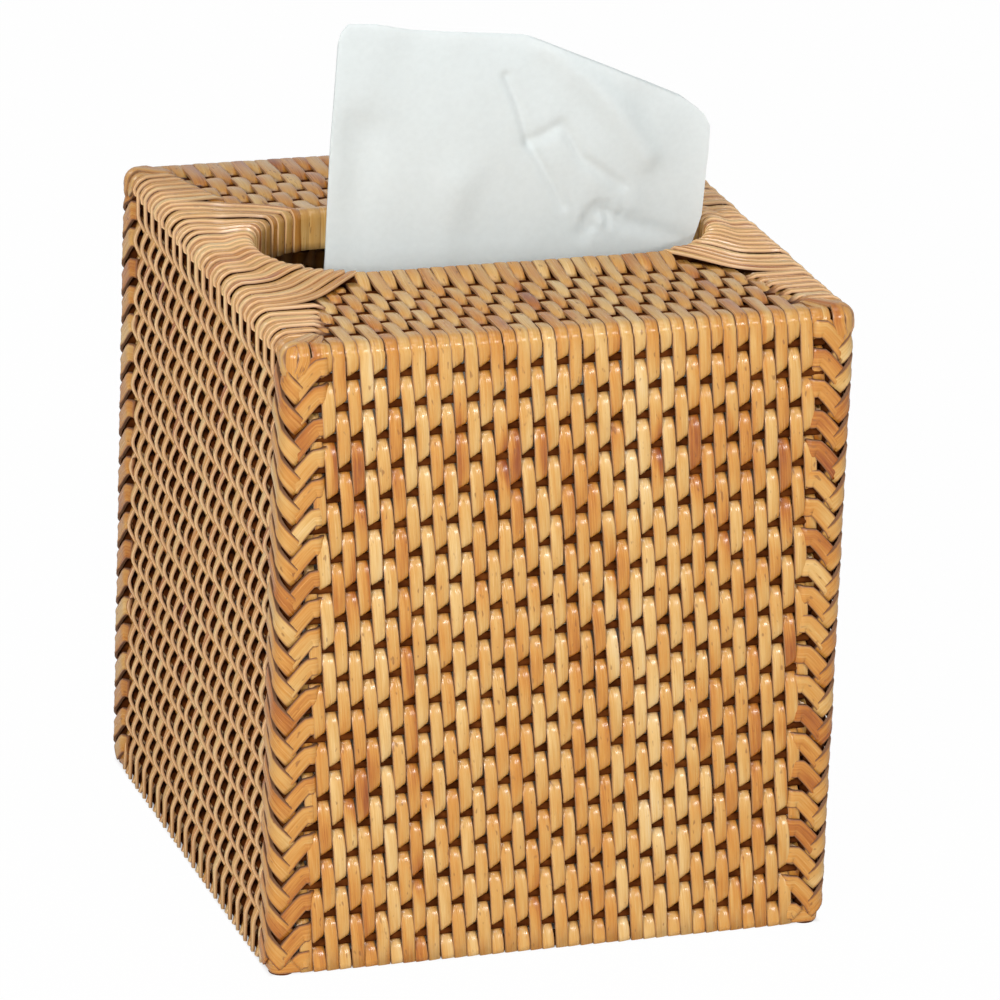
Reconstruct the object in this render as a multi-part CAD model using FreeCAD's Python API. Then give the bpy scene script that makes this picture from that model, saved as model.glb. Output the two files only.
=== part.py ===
import FreeCAD, Part
import math
import os

# Woven rattan cover for a cube tissue carton, open below, with a long mouth in its top.
# Millimetres. +Z up, front is -Y, origin on the table under the middle of the cover.

V = FreeCAD.Vector
UP = V(0, 0, 1)
os.makedirs("parts", exist_ok=True)

# Overall size of the cover, to the outside of the weave
cover_width = 142.0
cover_depth = 144.0
cover_height = 160.0

# Flat rattan strips
strip_width = 3.0
strip_thickness = 1.0
strip_spacing = 3.22

# Round rattan rods that the strips pass over and under
stake_diameter = 2.0
stake_spacing = 7.58
stake_edge_gap = 5.4
top_stake_spacing = 7.27
rail_diameter = 4.0
post_diameter = 6.0

# Corners
corner_margin = 8.0
post_inset = 4.0
corner_radius = 3.0
lacing_thickness = 0.8
lacing_height = 6.4
lacing_slope_degrees = 50.0

# Mouth in the top: clear opening between the wrapped rim's inner walls
mouth_length = 114.0
mouth_width = 46.0
rim_rise = 1.2
rim_band_width = 2.6
rim_band_height = 8.0
wrap_thickness = 0.8
wrap_wall_height = 10.0
wrap_spacing = 2.94

# Strips that fan from the side walls to the rounded ends of the mouth
fan_half_width = 40.0
fan_end_angle = 80.0
fan_knee_along = 0.55
fan_knee_across = 0.2
fill_boundary_slope = 0.34

# Clearances
weave_clearance = 0.15
butt_clearance = 0.2
lay_clearance = 0.3
tuck_clearance = 0.4
floor_clearance = 0.4

# Tissue carton inside the cover
carton_width = 112.0
carton_height = 130.0
board_thickness = 0.8
slot_length = 104.0
slot_width = 40.0
film_thickness = 0.3
film_border = 3.0
slit_width = 3.0
slit_left = -47.0
slit_right = 51.0
stack_clearance = 1.0
stack_height = 56.0
stack_corner_radius = 5.0

# The tissue that stands out of the mouth
tissue_thickness = 1.0
tissue_low_left = -43.0
tissue_low_right = 47.0
tissue_left = -41.5
tissue_right = 54.6
tissue_lean = -8.0
tissue_right_set_back = 3.6
tissue_fold_depth = 2.6
tissue_folds = 4
tissue_lift = 0.5
tissue_neck_height = 4.0
tissue_left_top = 216.0
tissue_middle_top = 210.0
tissue_middle_at = 12.0
tissue_right_top = 185.0
tissue_corner_radius = 5.0

# Values worked out from the sizes above
stake_radius = stake_diameter / 2
rail_radius = rail_diameter / 2
half_thickness = strip_thickness / 2
wave = stake_radius + weave_clearance + half_thickness
mid_depth = wave + half_thickness
rail_depth = strip_thickness + weave_clearance + rail_radius
rail_height = cover_height - rail_depth
first_stake = rail_radius + stake_edge_gap
stake_span = rail_height - stake_edge_gap - first_stake
stake_count = round(stake_span / stake_spacing) + 1
stake_pitch = stake_span / (stake_count - 1)
stake_heights = [first_stake + stake_pitch * k for k in range(stake_count)]
post_edge = post_inset + post_diameter / 2
seam_depth = rail_depth + half_thickness
top_start_depth = seam_depth + lay_clearance

end_radius = mouth_width / 2
mouth_half_straight = mouth_length / 2 - end_radius
band_inner = wrap_thickness + weave_clearance
band_middle = band_inner + rim_band_width / 2
rim_outer = 2 * band_middle
rim_reach = rim_outer + lay_clearance
rim_top = cover_height + rim_rise
band_crown = rim_top - band_middle

HALF_DEPTH = cover_depth / 2
HALF_WIDTH = cover_width / 2
SIDES = {
    "front": (0, HALF_DEPTH, HALF_WIDTH),
    "back": (180, HALF_DEPTH, HALF_WIDTH),
    "left": (-90, HALF_WIDTH, HALF_DEPTH),
    "right": (90, HALF_WIDTH, HALF_DEPTH),
}


def save(name, solids):
    """Write one node: a single solid, or a group of separate solids."""
    shape = solids[0] if len(solids) == 1 else Part.makeCompound(solids)
    shape.exportStep("parts/" + name + ".step")


def to_side(shape, side):
    """Carry a shape drawn on the plane y = 0, facing -Y, to one wall of the cover."""
    angle, out, half = SIDES[side]
    placed = shape.copy()
    placed.translate(V(0, -out, 0))
    placed.rotate(V(0, 0, 0), UP, angle)
    return placed


def shifted(shape, x, y, z):
    moved = shape.copy()
    moved.translate(V(x, y, z))
    return moved


def columns(side):
    """Middle places of a wall's strips along that wall, spread evenly between its corners."""
    field = 2 * (SIDES[side][2] - corner_margin)
    count = int(field / strip_spacing)
    pitch = field / count
    return [(i - (count - 1) / 2) * pitch for i in range(count)]


# Strip outlines: a path of lines and arcs, thickened to both sides

def unit(x, y):
    length = math.hypot(x, y)
    return x / length, y / length


def line(start, end):
    return (start, end, None)


def arc(start, end, centre):
    return (start, end, centre)


def normal_at(point, piece):
    """Left-hand normal of a path piece at one of its points."""
    start, end, centre = piece
    if centre is None:
        tx, ty = unit(end[0] - start[0], end[1] - start[1])
        return -ty, tx
    rx, ry = unit(point[0] - centre[0], point[1] - centre[1])
    turn = (start[0] - centre[0]) * (end[1] - centre[1]) - (start[1] - centre[1]) * (end[0] - centre[0])
    if turn > 0:
        return -rx, -ry
    return rx, ry


def offset_point(point, piece, distance):
    nx, ny = normal_at(point, piece)
    return point[0] + nx * distance, point[1] + ny * distance


def arc_middle(piece):
    start, end, centre = piece
    radius = math.hypot(start[0] - centre[0], start[1] - centre[1])
    mx, my = unit(start[0] + end[0] - 2 * centre[0], start[1] + end[1] - 2 * centre[1])
    return centre[0] + mx * radius, centre[1] + my * radius


def offset_edge(piece, distance, lift):
    start = lift(offset_point(piece[0], piece, distance))
    end = lift(offset_point(piece[1], piece, distance))
    if piece[2] is None:
        return Part.LineSegment(start, end).toShape()
    middle = lift(offset_point(arc_middle(piece), piece, distance))
    return Part.Arc(start, middle, end).toShape()


def ribbon_face(path, thickness, lift):
    """Closed face of a strip seen edge-on: the path with half its thickness on both sides."""
    half = thickness / 2
    near = [offset_edge(piece, half, lift) for piece in path]
    far = [offset_edge(piece, -half, lift) for piece in path]
    first, last = path[0], path[-1]
    head = (lift(offset_point(last[1], last, half)), lift(offset_point(last[1], last, -half)))
    tail = (lift(offset_point(first[0], first, -half)), lift(offset_point(first[0], first, half)))
    caps = [Part.LineSegment(*head).toShape(), Part.LineSegment(*tail).toShape()]
    ordered = Part.sortEdges(near + far + caps)[0]
    return Part.Face(Part.Wire(ordered))


def add_flat(path, start, end):
    """Lengthen a path by a level stretch, in one with a level stretch before it."""
    if path and path[-1][2] is None:
        start = path.pop()[0]
    path.append(line(start, end))


def weave_path(stations, levels):
    """Path that rests on each station at its level: flat on top, and turned close round a rod below."""
    path = []
    for i in range(len(stations) - 1):
        s0, s1 = stations[i], stations[i + 1]
        a, b = levels[i], levels[i + 1]
        if a == b:
            add_flat(path, (s0, a), (s1, b))
            continue
        rise = abs(b - a) / 2
        run = min(s1 - s0, 2 * rise)
        radius = run ** 2 / (8 * rise) + rise / 2
        side = math.copysign(1, b - a)
        dives = a < b
        turn = s1 - run if dives else s0
        if dives and turn > s0:
            add_flat(path, (s0, a), (turn, a))
        middle = (turn + run / 2, (a + b) / 2)
        path.append(arc((turn, a), middle, (turn, a + side * radius)))
        path.append(arc(middle, (turn + run, b), (turn + run, b - side * radius)))
        if not dives and turn + run < s1:
            add_flat(path, (turn + run, b), (s1, b))
    return path


def edge_on(point):
    """Path point (along, depth) of an upright strip, drawn at its left edge."""
    return V(-strip_width / 2, point[1], point[0])


def edge_on_top(point):
    """Path point (depth, level below the top) of a strip lying in the top panel."""
    return V(-strip_width / 2, point[0], cover_height - point[1])


OVER = half_thickness
UNDER = mid_depth + wave


# Frame of round rattan

def corner_posts():
    x = HALF_WIDTH - post_inset
    y = HALF_DEPTH - post_inset
    height = cover_height - strip_thickness - weave_clearance
    post = Part.makeCylinder(post_diameter / 2, height)
    save("front_left_post", [shifted(post, -x, -y, 0)])
    save("front_right_post", [shifted(post, x, -y, 0)])
    save("back_left_post", [shifted(post, -x, y, 0)])
    save("back_right_post", [shifted(post, x, y, 0)])


def wall_rod(side, radius, depth, height):
    half = SIDES[side][2] - post_edge - butt_clearance
    rod = Part.makeCylinder(radius, 2 * half, V(-half, depth, height), V(1, 0, 0))
    return to_side(rod, side)


def rails_and_stakes():
    base = [wall_rod(side, rail_radius, rail_depth, rail_radius) for side in SIDES]
    save("base_rails", base)
    edge = [wall_rod(side, rail_radius, rail_depth, rail_height) for side in SIDES]
    save("top_edge_rails", edge)
    for side in SIDES:
        stakes = [wall_rod(side, stake_radius, mid_depth, height) for height in stake_heights]
        save(side + "_stakes", stakes)


# Woven walls

def wall_strip_path(over_first):
    """Upright strip: outside both rails, over and under the stakes, and over the top edge."""
    stations = [floor_clearance, rail_radius] + stake_heights + [rail_height]
    levels = [OVER, OVER]
    for k in range(stake_count):
        levels.append(OVER if (k % 2 == 0) == over_first else UNDER)
    levels.append(OVER)
    path = weave_path(stations, levels)
    crown = (cover_height - half_thickness, rail_depth)
    path.append(arc((rail_height, OVER), crown, (rail_height, rail_depth)))
    path.append(line(crown, (crown[0], seam_depth)))
    return path


def wall_weavers():
    strips = []
    for over_first in (True, False):
        face = ribbon_face(wall_strip_path(over_first), strip_thickness, edge_on)
        strips.append(face.extrude(V(strip_width, 0, 0)))
    for side in SIDES:
        placed = [to_side(shifted(strips[i % 2], x, 0, 0), side) for i, x in enumerate(columns(side))]
        save(side + "_weavers", placed)


# Top panels in front of the mouth and behind it

rim_depth = HALF_DEPTH - end_radius - band_middle
top_stake_count = round((rim_depth - rail_depth) / top_stake_spacing) - 1
top_stake_pitch = (rim_depth - rail_depth) / (top_stake_count + 1)
top_stake_depths = [rail_depth + top_stake_pitch * (k + 1) for k in range(top_stake_count)]


def fan_rim_point(angle_degrees):
    """Point beside the rim at the mouth's left end, turned from the middle of that end."""
    reach = end_radius + rim_reach
    angle = math.radians(angle_degrees)
    return (-mouth_half_straight - reach * math.cos(angle), reach * math.sin(angle))


side_places = columns("left")
side_pitch = side_places[1] - side_places[0]
fan_places = [y for y in side_places if abs(y) <= fan_half_width]
fan_half_reach = fan_places[-1] + side_pitch / 2
fan_edge_x = -HALF_WIDTH + top_start_depth


def fan_line(index):
    """Border between two fan strips: from the wall's edge over a knee to the rim."""
    share = index / len(fan_places)
    edge = (fan_edge_x, fan_half_reach * (2 * share - 1))
    rim = fan_rim_point(fan_end_angle * (2 * share - 1))
    knee_x = edge[0] + (rim[0] - edge[0]) * fan_knee_along
    knee_y = edge[1] + (rim[1] - edge[1]) * fan_knee_across
    return edge, (knee_x, knee_y), rim


def fill_reach(y):
    """How far from the middle plane a corner's fill strip ends, beside the top panel."""
    knee_x, knee_y = fan_line(0)[1]
    return -knee_x + (abs(y) + knee_y) * fill_boundary_slope


def panel_depth_at(x):
    """Depth from the wall at which a top panel's strip has to end."""
    knee, rim = fan_line(0)[1:]
    far = -abs(x) - strip_width / 2
    if far >= rim[0]:
        return HALF_DEPTH - end_radius - rim_reach
    if far >= knee[0]:
        slope = (rim[1] - knee[1]) / (rim[0] - knee[0])
        return HALF_DEPTH + rim[1] + slope * (far - rim[0]) - tuck_clearance
    return HALF_DEPTH + knee[1] + (far - knee[0]) / fill_boundary_slope - tuck_clearance


def top_strip_path(over_first, depth_limit):
    """Strip of a top panel, from the top edge rail inwards; it ends past its last stake."""
    last = [d for d in top_stake_depths if d + top_stake_pitch / 2 <= depth_limit]
    if not last:
        end = max(depth_limit, top_start_depth + strip_width)
        return [line((top_start_depth, OVER), (end, OVER))]
    levels = []
    for k in range(len(last)):
        levels.append(OVER if (k % 2 == 0) == over_first else UNDER)
    stations = [top_start_depth] + last
    path = weave_path(stations, [OVER] + levels)
    tail_station = last[-1] + top_stake_pitch
    if levels[-1] == OVER:
        reach = min(depth_limit, tail_station)
        add_flat(path, (last[-1], OVER), (reach, OVER))
        return path
    path.append(weave_path([last[-1], tail_station], [UNDER, OVER])[0])
    return path


def top_panels():
    half = HALF_WIDTH - rail_depth - rail_radius - butt_clearance
    stakes = []
    for depth in top_stake_depths:
        rod = Part.makeCylinder(stake_radius, 2 * half, V(-half, depth, cover_height - mid_depth), V(1, 0, 0))
        stakes.append(rod)
    for side in ("front", "back"):
        save("top_" + side + "_stakes", [to_side(rod, side) for rod in stakes])
        strips = []
        for i, x in enumerate(columns(side)):
            over_first = (i + stake_count) % 2 == 0
            path = top_strip_path(over_first, panel_depth_at(x))
            strip = ribbon_face(path, strip_thickness, edge_on_top).extrude(V(strip_width, 0, 0))
            strips.append(to_side(shifted(strip, x, 0, 0), side))
        save("top_" + side + "_weavers", strips)


# Strips over the top's sides and corners

def flat_strip(corners):
    """Flat strip in the top layer, from its corners in plan."""
    points = [V(x, y, cover_height - strip_thickness) for x, y in corners]
    face = Part.Face(Part.makePolygon(points + points[:1]))
    return face.extrude(V(0, 0, strip_thickness))


def between(p, q, gap):
    """The two ends of the stretch from p to q, each drawn in by half the gap."""
    ux, uy = unit(q[0] - p[0], q[1] - p[1])
    inset = gap / 2
    return (p[0] + ux * inset, p[1] + uy * inset), (q[0] - ux * inset, q[1] - uy * inset)


def side_fans():
    gap = side_pitch - strip_width
    fans = []
    for i in range(len(fan_places)):
        stretches = [between(p, q, gap) for p, q in zip(fan_line(i), fan_line(i + 1))]
        near = [low for low, high in stretches]
        far = [high for low, high in stretches]
        fans.append(flat_strip(near + far[::-1]))
    save("top_left_fan_strips", fans)
    save("top_right_fan_strips", [fan.mirror(V(0, 0, 0), V(1, 0, 0)) for fan in fans])


def corner_fills():
    """Side strips beyond the fan run straight to the top panel, two more cover the post."""
    fills = []
    for y in side_places:
        if y > -fan_half_reach:
            continue
        inner = -fill_reach(y) - tuck_clearance
        low = y - strip_width / 2
        high = y + strip_width / 2
        fills.append(flat_strip([(fan_edge_x, low), (inner, low), (inner, high), (fan_edge_x, high)]))
    lane = (corner_margin - corner_radius / 2) / 2
    for i in range(2):
        low = -HALF_DEPTH + corner_radius / 2 + lane * i
        high = low + lane - lay_clearance
        outer = -HALF_WIDTH + corner_radius / 2
        inner = -HALF_WIDTH + corner_margin - tuck_clearance
        fills.append(flat_strip([(outer, low), (inner, low), (inner, high), (outer, high)]))
    for side_x, x_sign in (("left", 1), ("right", -1)):
        across = fills if x_sign > 0 else [f.mirror(V(0, 0, 0), V(1, 0, 0)) for f in fills]
        save("front_" + side_x + "_fill_strips", across)
        save("back_" + side_x + "_fill_strips", [f.mirror(V(0, 0, 0), V(0, 1, 0)) for f in across])


# Corner lacing

def corner_shell():
    """Thin skin round the front left corner, drawn with the corner at the origin."""
    reach = corner_margin - tuck_clearance
    path = [
        line((reach, lacing_thickness / 2), (corner_radius, lacing_thickness / 2)),
        arc((corner_radius, lacing_thickness / 2), (lacing_thickness / 2, corner_radius),
            (corner_radius, corner_radius)),
        line((lacing_thickness / 2, corner_radius), (lacing_thickness / 2, reach)),
    ]
    low = floor_clearance
    high = cover_height - strip_thickness - lay_clearance
    face = ribbon_face(path, lacing_thickness, lambda p: V(p[0], p[1], low))
    return face.extrude(V(0, 0, high - low))


def lacing_prism(outline):
    """Band seen along the corner's diagonal: outline points are (across, height)."""
    diagonal = math.sqrt(0.5)
    start = -corner_margin
    points = [V(q * diagonal + start, -q * diagonal + start, z) for q, z in outline]
    face = Part.Face(Part.makePolygon(points + points[:1]))
    return face.extrude(V(4 * corner_margin, 4 * corner_margin, 0) * diagonal)


def lacing_outlines(top):
    """Left and right arm of one chevron; each arm's lower end stops at the other arm's edge."""
    slope = math.tan(math.radians(lacing_slope_degrees)) / math.sqrt(0.5)
    reach = corner_margin
    shift = stake_pitch / 2
    end_high = (shift - lay_clearance) / (2 * slope)
    end_low = (shift - lacing_height - lay_clearance) / (2 * slope)
    left = [
        (-reach, top + slope * reach),
        (-reach, top - lacing_height + slope * reach),
        (end_low, top - lacing_height - slope * end_low),
        (end_high, top - slope * end_high),
    ]
    right = [(-q, z - shift) for q, z in left]
    return left, right


def corner_lacing():
    shell = corner_shell()
    rise = corner_margin * math.tan(math.radians(lacing_slope_degrees)) / math.sqrt(0.5)
    arms = []
    level = -rise
    while level < cover_height + 2 * lacing_height:
        for outline in lacing_outlines(level):
            piece = shell.common(lacing_prism(outline))
            arms.extend(s for s in piece.Solids if s.Volume > lacing_thickness ** 3)
        level += stake_pitch
    placed = [shifted(arm, -HALF_WIDTH, -HALF_DEPTH, 0) for arm in arms]
    crossed = [arm.mirror(V(0, 0, 0), V(1, 0, 0)) for arm in placed]
    save("front_left_lacing", placed)
    save("front_right_lacing", crossed)
    save("back_left_lacing", [arm.mirror(V(0, 0, 0), V(0, 1, 0)) for arm in placed])
    save("back_right_lacing", [arm.mirror(V(0, 0, 0), V(0, 1, 0)) for arm in crossed])


# Mouth rim

def round_the_mouth(face):
    """Ring made from a section face at the mouth's front: two straights and two turned ends."""
    length = 2 * mouth_half_straight
    front = shifted(face, -mouth_half_straight, 0, 0).extrude(V(length, 0, 0))
    back = front.mirror(V(0, 0, 0), V(0, 1, 0))
    left = shifted(face, -mouth_half_straight, 0, 0)
    left = left.revolve(V(-mouth_half_straight, 0, 0), UP, -180)
    right = left.mirror(V(0, 0, 0), V(1, 0, 0))
    return front.fuse([back, left, right]).removeSplitter()


def rim_band():
    """Flat cane band that carries the rim, with a half-round upper edge."""
    y_in = -end_radius - band_inner
    y_out = y_in - rim_band_width
    y_mid = (y_in + y_out) / 2
    low = band_crown - rim_band_height
    crown = V(0, y_mid, band_crown + rim_band_width / 2)
    edges = [
        Part.LineSegment(V(0, y_out, low), V(0, y_in, low)).toShape(),
        Part.LineSegment(V(0, y_in, low), V(0, y_in, band_crown)).toShape(),
        Part.Arc(V(0, y_in, band_crown), crown, V(0, y_out, band_crown)).toShape(),
        Part.LineSegment(V(0, y_out, band_crown), V(0, y_out, low)).toShape(),
    ]
    face = Part.Face(Part.Wire(edges))
    save("mouth_band", [round_the_mouth(face)])


def wrap_face():
    """Section of one rim wrap: up the mouth's inner wall, over the band, down to the top."""
    radius = band_middle - wrap_thickness / 2
    inner = wrap_thickness / 2
    outer = rim_outer - wrap_thickness / 2
    crown = (band_middle, band_crown + radius)
    path = [
        line((inner, rim_top - wrap_wall_height), (inner, band_crown)),
        arc((inner, band_crown), crown, (band_middle, band_crown)),
        arc(crown, (outer, band_crown), (band_middle, band_crown)),
        line((outer, band_crown), (outer, cover_height - strip_thickness - lay_clearance)),
    ]
    return ribbon_face(path, wrap_thickness, lambda p: V(0, -end_radius - p[0], p[1]))


def rim_wraps():
    face = wrap_face()
    gap = strip_spacing - strip_width
    straight = 2 * mouth_half_straight
    count = max(1, int(straight / strip_spacing))
    pitch = straight / count
    wrap = face.extrude(V(pitch - gap, 0, 0))
    front = [shifted(wrap, -mouth_half_straight + gap / 2 + pitch * i, 0, 0) for i in range(count)]
    save("mouth_front_wraps", front)
    save("mouth_back_wraps", [w.mirror(V(0, 0, 0), V(0, 1, 0)) for w in front])

    turn_count = round(math.pi * (end_radius + band_middle) / wrap_spacing)
    step = 180.0 / turn_count
    gap_angle = math.degrees(gap / end_radius)
    axis = V(-mouth_half_straight, 0, 0)
    start = shifted(face, -mouth_half_straight, 0, 0)
    left = []
    for i in range(turn_count):
        turned = start.copy()
        turned.rotate(axis, UP, -(step * i + gap_angle / 2))
        left.append(turned.revolve(axis, UP, -(step - gap_angle)))
    save("mouth_left_wraps", left)
    save("mouth_right_wraps", [w.mirror(V(0, 0, 0), V(1, 0, 0)) for w in left])


# Tissue carton

def stadium(length, width, low, height):
    radius = width / 2
    half = length / 2 - radius
    block = Part.makeBox(2 * half, width, height, V(-half, -radius, low))
    ends = [Part.makeCylinder(radius, height, V(x, 0, low)) for x in (-half, half)]
    return block.fuse(ends).removeSplitter()


carton_top = carton_height
board_under = carton_height - board_thickness
film_top = board_under


def carton():
    half = carton_width / 2
    outer = Part.makeBox(carton_width, carton_width, carton_height, V(-half, -half, 0))
    room = carton_width - 2 * board_thickness
    corner = V(-room / 2, -room / 2, board_thickness)
    inner = Part.makeBox(room, room, carton_height - 2 * board_thickness, corner)
    slot = stadium(slot_length, slot_width, board_under - board_thickness, 3 * board_thickness)
    save("carton_board", [outer.cut(inner).cut(slot)])

    film_length = min(room - 2 * butt_clearance, slot_length + 2 * film_border)
    film_width = slot_width + 2 * film_border
    low = film_top - film_thickness
    film = Part.makeBox(film_length, film_width, film_thickness, V(-film_length / 2, -film_width / 2, low))
    slit = Part.makeBox(slit_right - slit_left, slit_width, 3 * film_thickness,
                        V(slit_left, -slit_width / 2, low - film_thickness))
    save("slot_film", [film.cut(slit)])

    side = room - 2 * stack_clearance
    stack = Part.makeBox(side, side, stack_height, V(-side / 2, -side / 2, board_thickness))
    upright = [e for e in stack.Edges if abs(e.Vertexes[0].Z - e.Vertexes[1].Z) > stack_height / 2]
    save("tissue_stack", [stack.makeFillet(stack_corner_radius, upright)])


# The tissue

tissue_foot = board_thickness + stack_height + tissue_lift
tissue_neck = carton_top + tissue_neck_height


def tissue_section(height, left, right, middle_y, set_back, fold):
    """Closed band across the tissue at one height: shallow folds, one arc to each."""
    count = tissue_folds
    half = tissue_thickness / 2

    def centre(share):
        return left + (right - left) * share, middle_y + set_back * share

    def chain(offset, shares):
        edges = []
        for i in range(len(shares) - 1):
            a, b = shares[i], shares[i + 1]
            xa, ya = centre(a)
            xb, yb = centre(b)
            xm, ym = centre((a + b) / 2)
            bulge = fold * (1 if int(round(min(a, b) * count)) % 2 == 0 else -1)
            start = V(xa, ya + offset, height)
            middle = V(xm, ym + bulge + offset, height)
            edges.append(Part.Arc(start, middle, V(xb, yb + offset, height)).toShape())
        return edges

    shares = [i / count for i in range(count + 1)]
    near = chain(-half, shares)
    far = chain(half, shares[::-1])
    xa, ya = centre(0)
    xb, yb = centre(1)
    right_end = Part.LineSegment(V(xb, yb - half, height), V(xb, yb + half, height)).toShape()
    left_end = Part.LineSegment(V(xa, ya + half, height), V(xa, ya - half, height)).toShape()
    return Part.Wire(near + [right_end] + far + [left_end])


def tissue_outline():
    """Front view of the tissue's upper edge: it falls from left to right in two slopes."""
    corner = tissue_corner_radius
    wide = 2 * abs(tissue_right)
    slope = (tissue_left_top - tissue_middle_top) / (tissue_middle_at - tissue_left)
    low_corner = V(tissue_left, 0, tissue_left_top - corner)
    high_corner = V(tissue_left + corner, 0, tissue_left_top - slope * corner)
    share = 1 - math.sqrt(0.5)
    bend = V(tissue_left + corner * share, 0, tissue_left_top - corner * share)
    middle = V(tissue_middle_at, 0, tissue_middle_top)
    right = V(tissue_right, 0, tissue_right_top)
    edges = [
        Part.LineSegment(V(-wide, 0, tissue_left_top - corner), low_corner).toShape(),
        Part.Arc(low_corner, bend, high_corner).toShape(),
        Part.LineSegment(high_corner, middle).toShape(),
        Part.LineSegment(middle, right).toShape(),
        Part.LineSegment(right, V(wide, 0, tissue_right_top)).toShape(),
        Part.LineSegment(V(wide, 0, tissue_right_top), V(wide, 0, 0)).toShape(),
        Part.LineSegment(V(wide, 0, 0), V(-wide, 0, 0)).toShape(),
        Part.LineSegment(V(-wide, 0, 0), V(-wide, 0, tissue_left_top - corner)).toShape(),
    ]
    face = Part.Face(Part.Wire(edges))
    face.translate(V(0, -cover_depth, 0))
    return face.extrude(V(0, 2 * cover_depth, 0))


def tissue():
    low_width = (tissue_low_left, tissue_low_right)
    full_width = (tissue_left, tissue_right)
    slack = tissue_thickness / 4
    rows = [
        (tissue_foot, low_width, 0, 0, slack),
        (tissue_neck, low_width, 0, 0, slack),
        (cover_height, full_width, tissue_lean, tissue_right_set_back, tissue_fold_depth / 2),
        (tissue_left_top, full_width, tissue_lean, tissue_right_set_back, tissue_fold_depth),
    ]
    sections = [tissue_section(z, *width, y, back, fold) for z, width, y, back, fold in rows]
    cloth = Part.makeLoft(sections, True, True)
    save("standing_tissue", [cloth.common(tissue_outline()).Solids[0]])


corner_posts()
rails_and_stakes()
wall_weavers()
top_panels()
side_fans()
corner_fills()
corner_lacing()
rim_band()
rim_wraps()
carton()
tissue()
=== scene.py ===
import math
import random

import bmesh
import bpy
from mathutils import Matrix, Vector, noise


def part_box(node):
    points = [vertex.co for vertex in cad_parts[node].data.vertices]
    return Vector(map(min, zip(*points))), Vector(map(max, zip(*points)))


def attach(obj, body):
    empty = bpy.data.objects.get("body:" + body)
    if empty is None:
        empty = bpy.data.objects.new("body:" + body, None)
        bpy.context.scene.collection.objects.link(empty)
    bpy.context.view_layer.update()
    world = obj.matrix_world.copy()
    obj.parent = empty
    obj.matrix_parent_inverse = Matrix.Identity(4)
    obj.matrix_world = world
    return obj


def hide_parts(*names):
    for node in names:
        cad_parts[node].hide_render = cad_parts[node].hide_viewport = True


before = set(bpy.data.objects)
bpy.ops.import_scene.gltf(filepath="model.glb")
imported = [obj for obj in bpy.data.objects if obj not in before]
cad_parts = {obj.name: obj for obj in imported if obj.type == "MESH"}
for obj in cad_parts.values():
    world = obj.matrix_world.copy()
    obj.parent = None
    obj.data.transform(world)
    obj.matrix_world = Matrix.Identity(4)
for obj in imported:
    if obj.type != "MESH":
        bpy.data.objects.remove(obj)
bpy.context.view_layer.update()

# Woven rattan cover over a tissue carton. Metres, front is -Y, up is +Z.
MM = 0.001
UP = Vector((0, 0, 1))

# Counts of the weave
STAKES = 20
TOP_STAKES = 5
STRIPS = 39

# Flat strips: thickness, gap to the floor, plain run at each end, widths, and how far side strips turn on edge
STRIP_THICKNESS = 1.0 * MM
FLOOR_GAP = 0.6 * MM
END_RUN = 0.8 * MM
FRONT_WIDTH = 3.08 * MM
BACK_WIDTH = 3.7 * MM
SIDE_WIDTH = 3.1 * MM
SIDE_TWIST = 0.26

# Rings laid along a strip
BEND_RINGS = 6
FAN_RINGS = 22
FILL_RINGS = 10
WALL_RINGS = 4

# Outline of a strip's section, from the hidden face round: shares of its width and thickness, and painted
# shade, which darkens the hidden face and lower edges as if in shadow
SECTION = [
    (0.0, -0.5, 0.3), (0.5, -0.46, 0.6), (0.5, 0.26, 0.0), (0.38, 0.44, 0.0),
    (0.0, 0.5, 0.0), (-0.38, 0.44, 0.0), (-0.5, 0.26, 0.0), (-0.5, -0.46, 0.6),
]
CUT_EDGES = (1, 2, 6, 7)


# Sizes read from the frame

half_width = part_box("right_weavers")[1].x
half_depth = -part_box("front_weavers")[0].y
cover_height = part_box("front_weavers")[1].z
stake_low, stake_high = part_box("front_stakes")
stake_radius = (stake_high.y - stake_low.y) / 2
stake_depth = half_depth + stake_low.y + stake_radius
stake_pitch = (stake_high.z - stake_low.z - 2 * stake_radius) / (STAKES - 1)
stake_heights = [stake_low.z + stake_radius + stake_pitch * k for k in range(STAKES)]
edge_low, edge_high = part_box("top_edge_rails")
rail_depth = half_depth + edge_low.y + (edge_high.z - edge_low.z) / 2
band_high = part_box("mouth_band")[1]
mouth_half_straight = band_high.x - band_high.y
wrap_low, wrap_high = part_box("mouth_front_wraps")
mouth_end_radius = -wrap_high.y
rim_middle = -(wrap_low.y + wrap_high.y) / 2
rim_crest = wrap_high.z - STRIP_THICKNESS / 2
rim_bend = rim_middle - mouth_end_radius - STRIP_THICKNESS / 2
top_stake_low, top_stake_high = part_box("top_front_stakes")
top_first = half_depth + top_stake_low.y + stake_radius
top_pitch = (top_stake_high.y - top_stake_low.y - 2 * stake_radius) / (TOP_STAKES - 1)
top_depths = [top_first + top_pitch * k for k in range(TOP_STAKES)]
over_depth = STRIP_THICKNESS / 2
under_depth = 2 * stake_depth - over_depth
strip_top = cover_height - over_depth

# Each wall: turn about the upright axis, distance of its face from the middle, radius of its top edge,
# width of its strips and how far they are turned on edge
SIDE_EDGE = 4.3 * MM
WALLS = {
    "front": {"turn": 0, "reach": half_depth, "edge": rail_depth, "width": FRONT_WIDTH, "twist": 0.0},
    "back": {"turn": 180, "reach": half_depth, "edge": rail_depth, "width": BACK_WIDTH, "twist": 0.0},
    "left": {"turn": -90, "reach": half_width, "edge": SIDE_EDGE, "width": SIDE_WIDTH, "twist": -SIDE_TWIST},
    "right": {"turn": 90, "reach": half_width, "edge": SIDE_EDGE, "width": SIDE_WIDTH, "twist": SIDE_TWIST},
}
WALL_END = 8.0 * MM
LEAN_COLUMNS = 4


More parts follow.
